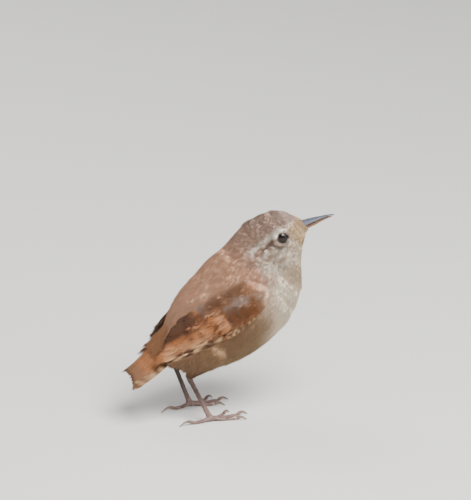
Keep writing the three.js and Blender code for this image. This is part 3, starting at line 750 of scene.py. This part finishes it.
wing = {
    "wrist": np.array([8.0, 46.5]), "slope": math.radians(30),
    "tip": np.array([-28.0, 25.0]), "tipY": 8.3, "slopeX": 0.26, "slopeZ": -0.3,
}
wingAlong = np.array([-math.cos(wing["slope"]), -math.sin(wing["slope"])])
wingAcross = np.array([-math.sin(wing["slope"]), math.cos(wing["slope"])])


def trunkSide(x, z):
    place = np.stack([x, np.zeros_like(x), z], -1) - trunk["vent"]
    middle, depth, width = byTable(trunk["stations"], np.clip(place @ trunkLine, -1.5, 60))
    share = 1 - ((place @ trunkUp - middle) / depth) ** 2
    return width * np.sqrt(0.5 * (share + np.sqrt(share * share + 0.08)))


def wingY(x, z):
    plane = wing["tipY"] + wing["slopeX"] * (x - wing["tip"][0]) + wing["slopeZ"] * (z - wing["tip"][1])
    blend = 1.2
    return blend * np.logaddexp(plane / blend, trunkSide(x, z) / blend)


def wingPoint(side, u, v, lift):
    if side > 0:  # the far wing is tucked a little lower than the near one
        v = v - 1.7 * smooth((u - 2) / 20)
    x = wing["wrist"][0] + u * wingAlong[0] + v * wingAcross[0]
    z = wing["wrist"][1] + u * wingAlong[1] + v * wingAcross[1]
    step = 0.6
    gx = (wingY(x + step, z) - wingY(x - step, z)) / (2 * step)
    gz = (wingY(x, z + step) - wingY(x, z - step)) / (2 * step)
    outward = unit(np.stack([-gx, np.ones_like(gx), -gz], -1))
    point = np.stack([x, wingY(x, z), z], -1) + outward * np.asarray(lift)[..., None]
    return point * np.array([1, side, 1])


tailFrame = {"root": np.array([-15.8, 0, 40.6]), "slope": math.radians(44),
             "fall": np.array([[3, 0.2], [9, 0.4], [14, 0.62], [20, 0.72], [26, 0.5], [30, 0.34], [34, 0.25]])}
tailLine = np.array([-math.cos(tailFrame["slope"]), 0, -math.sin(tailFrame["slope"])])
tailUp = np.array([-math.sin(tailFrame["slope"]), 0, math.cos(tailFrame["slope"])])


def tailPoint(along, across, lift):
    drop = byTable(tailFrame["fall"], along)[0] * (np.sqrt(across * across + 1) - 1)
    return (tailFrame["root"] + along[..., None] * tailLine + (lift - drop)[..., None] * tailUp
            + across[..., None] * np.array([0, 1.0, 0]))


vaneGrid = {"rows": 17, "columns": 9, "thick": 0.13}


def plateFaces(rows, columns):  # a closed plate's faces, over its upper and then its lower points
    under = rows * columns
    index = np.arange(under).reshape(rows, columns)
    a, b, c, d = index[:-1, :-1], index[:-1, 1:], index[1:, 1:], index[1:, :-1]
    upper = np.stack([a, b, c, d], -1).reshape(-1, 4)
    lower = np.stack([a, d, c, b], -1).reshape(-1, 4) + under
    rim = np.concatenate([index[0], index[1:, -1], index[-1, -2::-1], index[-2:0:-1, 0]])
    after = np.roll(rim, -1)
    return np.concatenate([upper, lower, np.stack([rim, rim + under, after + under, after], -1)])


def vanePlate(surface, feather):  # upper then lower points of one closed vane, and their shares and places
    rows, columns = vaneGrid["rows"], vaneGrid["columns"]
    t = np.linspace(0, 1, rows)[:, None] * np.ones((1, columns))
    w = np.linspace(-1, 1, columns)[None] * np.ones((rows, 1))
    root, tip = np.array(feather["root"], float), np.array(feather["tip"], float)
    line = tip - root
    length = np.linalg.norm(line)
    across = np.array([-line[1], line[0]]) / length
    point = feather["point"]
    shape = np.interp(t, [0, 0.12, 0.4, 0.7, 0.86, 0.95, 1],
                      [0.3, 0.62, 0.95, 1, 0.8 + 0.4 * point, 0.45 + point, 1.1 * point])
    notch = rng.normal(0, feather["fray"], (1, columns)) * smooth((t - 0.6) / 0.4)
    rounding = feather["round"] * (w ** 2) * smooth((t - 0.8) / 0.2)
    place = root + line * (t + notch - rounding)[..., None]
    place = place + across * (w * shape * feather["half"])[..., None]
    lift = feather["lift"][0] + (feather["lift"][1] - feather["lift"][0]) * t
    lift = lift - w * feather["tilt"] - 0.14 * feather["half"] * w * w * smooth(t / 0.3)
    lift = lift - feather["settle"] * smooth((t - 0.72) / 0.28)
    thick = vaneGrid["thick"] * (1 - 0.7 * np.abs(w)) + 0.1 * np.exp(-(w / 0.12) ** 2)
    points = [surface(place[..., 0], place[..., 1], lift + rise).reshape(-1, 3)
              for rise in (thick / 2, -thick / 2 - 0.03)]
    t, w, u, v = (np.tile(value.ravel(), 2) for value in (t, w, place[..., 0], place[..., 1]))
    return np.concatenate(points), t, w, length, u, v


def joinVanes(name, surface, feathers, paint, slot, flip, *replaced):
    cells = int(math.ceil(math.sqrt(len(feathers))))
    rows, columns = vaneGrid["rows"], vaneGrid["columns"]
    faces = plateFaces(rows, columns)[:, ::-1] if flip else plateFaces(rows, columns)
    under = np.repeat([0.0, 1.0], rows * columns)
    parts = []
    for k, feather in enumerate(feathers):
        points, t, w, length, u, v = vanePlate(surface, feather)
        # the vanes' lower faces are mixed towards the rim tone, a painted sky-lit highlight
        colours = mix(paint(feather, t, w, length, u, v), wingTones["rim"], 0.35 * under)
        cell = np.array([k % cells, k // cells]) / cells
        bake = cell + (0.06 + 0.88 * np.stack([w * 0.5 + 0.5, t], -1)) / cells
        vane = np.stack([w * feather["half"], t * length], -1)
        parts.append((points + shift, faces + k * len(points), colours, bake, vane))
    piece = meshPiece(name, *(np.concatenate(values) for values in zip(*parts)))
    return dress(piece, vaneKeratin, slot, *replaced)


vaneKeratin = barbMaterial("flightVaneKeratin")
# pale is the colour of a painted sheen, rim of a painted sky-lit highlight and inner of painted shade
wingTones = {key: srgb(code) for key, code in {
    "rufous": "#8e5733", "covert": "#a67351", "dark": "#402b22", "buff": "#a88560", "inner": "#39261c",
    "pale": "#d9c0b4", "rim": "#a58c7c", "spot": "#241a15", "tail": "#945f3c", "tailDark": "#62402b",
    "tailTip": "#684c38"}.items()}


wingMarks = {"spots": ((11.2, -4.4), (15.6, -4.0)), "spotSize": 1.2,  # two black ones by the lower edge
             "wave": 3.1, "inner": (20, 0.8)}  # pitch of the waves, and where the painted shade over the inner vanes begins


def wingDapple(u, v):  # rufous with soft dark waves across the closed wing
    flat = np.stack([u, v, 0 * u], -1)
    wave = np.sin(u * 2 * math.pi / wingMarks["wave"] + 1.6 * fleck(flat, 6.0, 21) + 0.5 * v)
    wave = wave + 0.6 * fleck(flat, 3.0, 22)
    base = mix(wingTones["rufous"], wingTones["covert"], smooth(0.5 + 0.6 * fleck(flat, 8.0, 23)))
    for spotU, spotV in wingMarks["spots"]:
        spot = smooth(1.5 - np.hypot(u - spotU, v - spotV) / wingMarks["spotSize"])
        base = mix(base, wingTones["spot"], 0.95 * spot)
    return mix(base, wingTones["dark"], 0.62 * smooth(wave * 0.9 - 0.1) * smooth((u + 2) / 8))


def paintedSheenPatch(colour, u, v):  # painted sheen: pale greyish patches near the bend and over the tertials, where the feathers catch the light
    flat = np.stack([u, v, 0 * u], -1)
    ragged = 0.3 * fleck(flat, 2.6, 24)
    pale = np.maximum(smooth(1.2 + ragged - np.hypot((u - 5.0) / 6.2, (v - 2.9 - 0.1 * u) / 2.5)),
                      0.75 * smooth(1.1 + ragged - np.hypot((u - 17.5) / 4.2, (v - 8.2) / 3.0)))
    return mix(colour, wingTones["pale"], 0.6 * pale)


def wingPaint(feather, t, w, length, u, v):
    kind = feather["kind"]
    bars = 0.5 + 0.5 * np.sin((t * length + feather["phase"]) * 2 * math.pi / feather["period"] + 0.5 * w)
    colour = wingDapple(u, v)
    if kind in ("primary", "outer"):
        web = mix(wingTones["dark"], wingTones["buff"], smooth(2.4 * bars - 1.0))
        colour = mix(colour, web, smooth((-w + 0.15) / 0.5) * (0.25 + 0.75 * smooth((-1.6 - v) / 1.2)))
        colour = mix(colour, wingTones["dark"], 0.5 * smooth((w - 0.1) / 0.5))
    elif kind in ("secondary", "tertial"):
        colour = mix(colour, wingTones["dark"], 0.4 * smooth(1.8 * (1 - bars) - 0.9))
    else:
        colour = mix(colour, wingTones["dark"], 0.22 * smooth(1.8 * (1 - bars) - 0.9))
    # painted shade: the wing's rear upper part is darkened to deep brown, as in shadow by the rump
    innerU, innerV = wingMarks["inner"]
    inner = smooth((u - innerU) / 6) * smooth((v - innerV) / 2.4)
    colour = mix(colour, wingTones["inner"], 0.92 * inner)
    # painted sheen near the bend and over the tertials
    colour = paintedSheenPatch(colour, u, v)
    _, high = bedEdges(u)
    scapular = smooth((v - high + 3.8) / 2.2) * smooth((22 - u) / 4)
    colour = mix(colour, tone["back"] * 0.5, 0.8 * scapular)
    if kind == "tertial":  # painted highlight: pale rims where the tertials' edges catch the sky light
        colour = mix(colour, wingTones["rim"], 0.35 * smooth((w - 0.72) / 0.2) * (1 - inner))
    shaft = np.exp(-(w / 0.07) ** 2)
    colour = mix(colour, wingTones["dark"], 0.3 * shaft)
    # painted shade: each vane is darker towards its root, which the feathers above cover
    return colour * (0.86 + 0.16 * t)[:, None] * feather["shade"]


plainFeather = {"period": 3.4, "fray": 0.02, "settle": 0.15, "point": 0.2, "round": 0.06, "bow": (0, 0)}

# a tier's kind, number, half width and tilt, the first root and tip and their steps to the next feather,
# then its lifts at root and tip and the tip's step, and what else is its own
wingTiers = (
    ("primary", 9, 1.7, 0.14, (8, -4.3, 0.4, 0.42), (45, -2.3, 0, 0.46), (0.6, 0.7, 0.09),
     {"period": 2.7, "bow": (0.24, 3.3)}),
    ("secondary", 6, 1.8, 0.14, (10, 0.2, 0, 0.75), (39.6, 2.0, -0.75, 0.5), (0.9, 1.4, 0.07), {}),
    ("tertial", 3, 2.3, 0.6, (13, 4.0, -1, 0.9), (34.4, 4.7, -3.2, 0.8), (0.4, 1.0, -0.1), {"period": 2.8}),
    ("outer", 6, 1.0, 0.1, (3.5, -4.4, 0, 0.5), (19.5, -5.2, -0.7, 0.65), (0.7, 1.4, 0.06),
     {"period": 2.4, "settle": 0.3}),
    ("covert", 9, 1.3, 0.1, (5.5, -1.6, 0, 0.76), (20.0, -2.4, -0.3, 0.9), (0.9, 1.75, 0.03),
     {"period": 3.2, "fray": 0.09, "settle": 0.55, "point": 0.35}),
)


def feathersOf(tiers):
    feathers = []
    for kind, count, half, tilt, root, tip, (rootLift, tipLift, liftStep), look in tiers:
        look = {**plainFeather, **look}
        bow, middle = look["bow"]
        for i in range(count):
            feather = {**look, "kind": kind, "tilt": tilt, "half": half * rng.uniform(0.92, 1.08)}
            for key, (u, v, du, dv), size in (("root", root, 0.3), ("tip", tip, 10 * look["fray"])):
                back = bow * (i - middle) ** 2 if key == "tip" else 0
                feather[key] = (u + du * i - back + rng.normal(0, size), v + dv * i + rng.normal(0, 0.2 * size))
            feather["lift"] = (rootLift, tipLift + liftStep * i)
            feather["period"] = look["period"] * rng.uniform(0.9, 1.1)
            feather["phase"] = rng.uniform(-0.5, 0.5) + 0.5 * i
            feather["shade"] = rng.uniform(0.93, 1.06)
            feathers.append(feather)
    return feathers


def makeWings():
    for side, word in ((-1, "right"), (1, "left")):
        piece = joinVanes(f"wingVanes_{word}", lambda u, v, lift: wingPoint(side, u, v, lift),
                          feathersOf(wingTiers), wingPaint, "wing_plumage", side < 0, f"wing_{word}")
        wingBed(side, word)
        growLesserCoverts(side, word)
        print("wren: wing", word, len(piece.data.polygons), "faces")


bed = {  # the folded wing's outline in its own along and across measures
    "low": np.array([[-6, -1.0], [0, -4.4], [8, -5.2], [28, -4.6], [34, -3.2], [37, -1.6]]),
    "high": np.array([[-6, 3.2], [0, 8.0], [8, 9.2], [18, 8.6], [28, 6.2], [34, 4.6], [37, 2.0]]),
    "under": -0.9, "rise": 2.3,
}


def bedEdges(u):
    return byTable(bed["low"], u)[0], byTable(bed["high"], u)[0]


def bedLift(u, v):  # the wing's bulk under its vanes, fading into the body at its edges
    low, high = bedEdges(u)
    ends = smooth((u + 6) / 9) * smooth((37 - u) / 12)
    fade = ends * smooth((v - low) / 2.4) * smooth((high - v) / 4.2)
    return bed["under"] + bed["rise"] * fade * np.interp(u, [0, 6, 14, 30], [1.0, 1.0, 0.75, 0.6])


def wingBed(side, word):
    u, share = np.meshgrid(np.linspace(-6, 37, 64), np.linspace(0, 1, 28), indexing="ij")
    low, high = bedEdges(u)
    v = low + (high - low) * share
    points = np.concatenate([wingPoint(side, u, v, lift).reshape(-1, 3)
                             for lift in (bedLift(u, v), np.full(u.shape, bed["under"] - 0.4))])
    faces = plateFaces(*u.shape)
    if side < 0:
        faces = faces[:, ::-1]
    # painted shade: the bed under the vanes takes the covert colour darkened to 0.6
    colours = np.tile(wingTones["covert"] * 0.6, (len(points), 1))
    dress(meshPiece(f"wingBed_{word}", points + shift, faces, colours), plumage, "wing_plumage")


lesser = {  # small feathers over the wing's front and upper edge, in the wing's measures
    "count": 6400, "along": (-6, 26), "across": (-5.0, 9.2), "frontEnd": 12.5, "upperDepth": 4.0,
    "length": (3.6, 5.2), "half": (0.7, 1.1), "vaneEvery": 6, "vaneLift": 7, "tuftLift": 10,
}


def growLesserCoverts(side, word):
    u = rng.uniform(*lesser["along"], lesser["count"])
    v = rng.uniform(*lesser["across"], lesser["count"])
    low, high = bedEdges(u)
    front = smooth((lesser["frontEnd"] - u) / 4)
    upper = smooth((v - high + lesser["upperDepth"]) / 1.4)
    keep = (v > low) & (v < high) & (rng.random(lesser["count"]) < np.maximum(front, upper))
    u, v = u[keep], v[keep]

    def over(u, v):  # the covered wing's surface under the small feathers
        low, high = bedEdges(u)
        inside = smooth((v - low) / 2.5) * smooth((high - v) / 3.5)
        edge = smooth((u - 8) / 6) * bump(v, high - 1.5, 3.0)  # lies over the tertials' upper edge
        return wingPoint(side, u, v, bedLift(u, v) + 0.65 * inside * smooth((u - 1) / 6) + 0.55 * edge)

    roots = over(u, v)
    du, dv = over(u + 0.3, v) - roots, over(u, v + 0.3) - roots
    normals = unit(np.cross(du, dv))
    normals = normals * np.sign(normals @ np.array([0, side, 0]))[:, None]
    _, high = bedEdges(u)
    toBody = np.maximum(smooth((2.0 - u) / 6), smooth((v - high + 3.0) / 2.5))
    colours = mix(wingDapple(u, v) * 1.4, markings(roots) * 0.72, toBody)
    # the lesser coverts and their tips take the same painted sheen patches, with a random spread per tuft
    colours = paintedSheenPatch(colours, u, v) * rng.uniform(0.76, 1.26, len(u))[:, None]
    tips = mix(wingTones["dark"], wingTones["buff"], rng.random(len(u)) < 0.5)
    tips = paintedSheenPatch(mix(tips, colours, np.maximum(toBody, 0.35)), u, v)
    bake = np.stack([0.05 + 0.9 * (u + 6) / 32, 0.05 + 0.9 * (v + 5) / 14.2], -1)
    lengths, widths = rng.uniform(*lesser["length"], len(u)), rng.uniform(*lesser["half"], len(u))
    isVane = np.arange(len(u)) % lesser["vaneEvery"] == 0
    for form, part, take, lift in ((vaneForm, "", isVane, lesser["vaneLift"]),
                                   (tuftForm, "Down", ~isVane, lesser["tuftLift"])):
        growFeathers(f"lesserCoverts{part}_{word}", form, "wing_plumage", take,
                     [roots, normals, unit(du), lengths, widths, np.full(len(u), math.radians(lift)),
                      colours, bake], tips)


makeWings()


def tailPaint(feather, t, w, length, u, v):
    bars = 0.5 + 0.5 * np.sin((t * length + feather["phase"]) * 2 * math.pi / feather["period"])
    colour = mix(wingTones["tail"], wingTones["tailDark"], 0.42 * smooth(1.9 * bars - 0.95))
    if feather["kind"] == "outer":
        edge = mix(wingTones["buff"], wingTones["dark"], smooth(1.9 * bars - 0.6))
        colour = mix(colour, edge, 0.9 * smooth((w + 0.4) / 0.5))
        # painted shadow: a dark line along the outer feathers' inner side, where the upper tail feathers lie
        # over them
        colour = mix(colour, wingTones["spot"], 0.75 * bump(w, -0.55, 0.3))
    tipShare = 0.3 if feather["kind"] == "outer" else 0.85
    colour = mix(colour, wingTones["tailTip"], tipShare * smooth((u - 24.0) / 5))
    colour = mix(colour, wingTones["dark"], 0.35 * np.exp(-(w / 0.07) ** 2))
    # painted shade: each vane is darker towards its root, which the feathers above cover
    return colour * (0.8 + 0.2 * t)[:, None] * feather["shade"]


tailTiers = (  # as for the wing
    ("inner", 4, 2.15, -0.12, (6, 0.9, 0, 0.72), (31.3, 1.4, 0.15, 1.38), (-0.9, -0.1, -0.13),
     {"period": 2.7, "point": 0.7, "settle": 0.0, "fray": 0.01, "round": 0.035}),
    ("outer", 2, 2.1, -0.12, (6, 3.8, 0, 0.72), (32.8, 6.9, 1.2, 1.9), (-1.2, -0.62, -0.13),
     {"period": 3.2, "point": 0.6, "settle": 0.0, "fray": 0.01, "round": 0.04}),
    ("covert", 6, 1.7, -0.1, (2.5, 0.4, 0, 0.9), (18.5, 0.8, -1.0, 1.05), (-0.4, 0.7, -0.1),
     {"period": 2.7, "fray": 0.06, "settle": 0.4, "point": 0.35}),
)


def makeTail():
    feathers = feathersOf(tailTiers)
    for side, word in ((-1, "right"), (1, "left")):
        if side > 0:  # the far side's outer feathers are closed further in
            for feather in feathers:
                if feather["kind"] == "outer":
                    feather["tip"] = (feather["tip"][0] - 2.6, feather["tip"][1] - 0.8)
        joinVanes(f"tailVanes_{word}", lambda a, c, lift: tailPoint(a, side * c, lift), feathers, tailPaint,
                  "tail_plumage", side > 0, *(["tail"] if side < 0 else []))
    makeTailBed()


tailBulk = {  # the tail coverts' bulk: along the tail, half width, half depth, rise
    "rows": np.array([[1, 5.6, 4.2, -4.0], [5, 5.4, 3.6, -3.1], [9, 5.2, 2.9, -2.2], [13, 4.6, 1.9, -1.4],
                      [17, 3.6, 0.9, -0.9], [20, 1.6, 0.3, -0.8]]),
    "steps": 24, "ring": 36, "tufts": 2200, "length": (3.4, 6.4), "half": (0.9, 1.2), "lift": 11,
}


def makeTailBed():
    rows, steps, ring, count = (tailBulk[key] for key in ("rows", "steps", "ring", "tufts"))
    along = np.linspace(rows[0, 0], rows[-1, 0], steps)
    angle = np.linspace(0, 2 * math.pi, ring, endpoint=False)[None]
    half, thick, rise = (column[:, None] for column in byTable(rows, along))
    points = tailPoint(along[:, None] * np.ones((1, ring)), half * np.cos(angle), rise + thick * np.sin(angle))
    points = np.concatenate([points.reshape(-1, 3), points[0].mean(0)[None], points[-1].mean(0)[None]])
    index = np.arange(steps * ring).reshape(steps, ring)
    after = np.roll(index, -1, axis=1)
    quads = np.stack([index[:-1], after[:-1], after[1:], index[1:]], -1).reshape(-1, 4)
    caps = [np.stack([after[0], index[0], np.full(ring, steps * ring)], -1),
            np.stack([index[-1], after[-1], np.full(ring, steps * ring + 1)], -1)]
    # painted shade: the bed under the tail's feathers takes the tail colour darkened to 0.6
    colours = np.tile(wingTones["tail"] * 0.6, (len(points), 1))
    piece = meshPiece("tailBed", points + shift,
                      np.concatenate([quads[:, :3], quads[:, [0, 2, 3]], *caps]), colours)
    pick(piece)
    bpy.ops.object.mode_set(mode="EDIT")
    bpy.ops.mesh.select_all(action="SELECT")
    bpy.ops.mesh.normals_make_consistent(inside=False)
    bpy.ops.object.mode_set(mode="OBJECT")
    dress(piece, plumage, "tail_plumage")

    a = rng.uniform(1, 16, count)
    th = rng.uniform(0, 2 * math.pi, count)
    half, thick, rise = byTable(rows, a)

    def at(da, dt):
        return tailPoint(a + da, half * np.cos(th + dt), rise + thick * np.sin(th + dt))

    roots = at(0, 0)
    du, dv = at(0.3, 0) - roots, at(0, 0.05) - roots
    normals = unit(np.cross(du, dv))
    out = np.sum(normals * (roots - tailPoint(a, 0 * a, rise)), axis=1, keepdims=True)
    barred = mix(tone["vent"], tone["bar"], 0.5 * smooth(np.sin(a * 2 * math.pi / 2.6)))
    colours = mix(np.tile(tone["rump"], (count, 1)), barred, smooth((-np.sin(th) + 0.2) / 0.5))
    bake = np.stack([0.05 + 0.9 * th / (2 * math.pi), 0.05 + 0.9 * a / 17], -1)
    lengths, widths = rng.uniform(*tailBulk["length"], count), rng.uniform(*tailBulk["half"], count)
    growFeathers("tailCoverts", tuftForm, "tail_plumage", slice(None),
                 [roots, normals * np.sign(out), unit(du), lengths, widths,
                  np.full(count, math.radians(tailBulk["lift"])), colours, bake])


makeTail()
print("wren: tail")


# stage, lights and camera

def makeStage():
    bpy.ops.mesh.primitive_plane_add(size=6)
    floor = bpy.context.object
    floor.name = "floor"
    material, tree, shader = newMaterial("paleStudioPaper")
    shaderValues(shader, {"Base Color": rgba("#dcdad5"), "Roughness": 0.9})
    floor.data.materials.append(material)
    world = bpy.data.worlds.new("softRoom")
    bpy.context.scene.world = world
    world.use_nodes = True
    shaderValues(world.node_tree.nodes["Background"], {"Color": rgba("#e8ecf2"), "Strength": 0.42})
    lamps = {  # place in metres, size, watts
        "key": ((0.08, -0.52, 0.78), 0.6, 21.0),
        "fill": ((0.7, -0.8, 0.4), 0.4, 2.4),
        "back": ((-0.2, 0.6, 0.5), 0.5, 3.0),
    }
    for name, (place, size, power) in lamps.items():
        bpy.ops.object.light_add(type="AREA", location=place)
        lamp = bpy.context.object
        lamp.name = name
        lamp.data.size = size
        lamp.data.energy = power
        aim = Vector((0, 0, 0.04)) - Vector(place)
        lamp.rotation_euler = aim.to_track_quat("-Z", "Y").to_euler()


photo = {"azimuth": math.radians(-18), "elevation": math.radians(17), "mmPerPixel": 0.36,
         "originPixel": (227.7, 411.0), "size": (471, 500), "distance": 2.0}


def makeCamera():
    a, e = photo["azimuth"], photo["elevation"]
    right = np.array([math.cos(a), math.sin(a), 0])
    up = np.array([-math.sin(a) * math.sin(e), math.cos(a) * math.sin(e), math.cos(e)])
    back = np.cross(right, up)
    width, height = photo["size"]
    centre = (right * (width / 2 - photo["originPixel"][0])
              + up * (photo["originPixel"][1] - height / 2)) * photo["mmPerPixel"] + shift
    place = centre * mm + back * photo["distance"]
    bpy.ops.object.camera_add(location=place)
    camera = bpy.context.object
    camera.name = "camera"
    camera.rotation_euler = Vector(back).to_track_quat("Z", "Y").to_euler()
    camera.data.sensor_width = 36
    camera.data.lens = 36 * photo["distance"] / (height * photo["mmPerPixel"] * mm)
    camera.data.clip_end = 20
    bpy.context.scene.camera = camera


makeStage()
makeCamera()
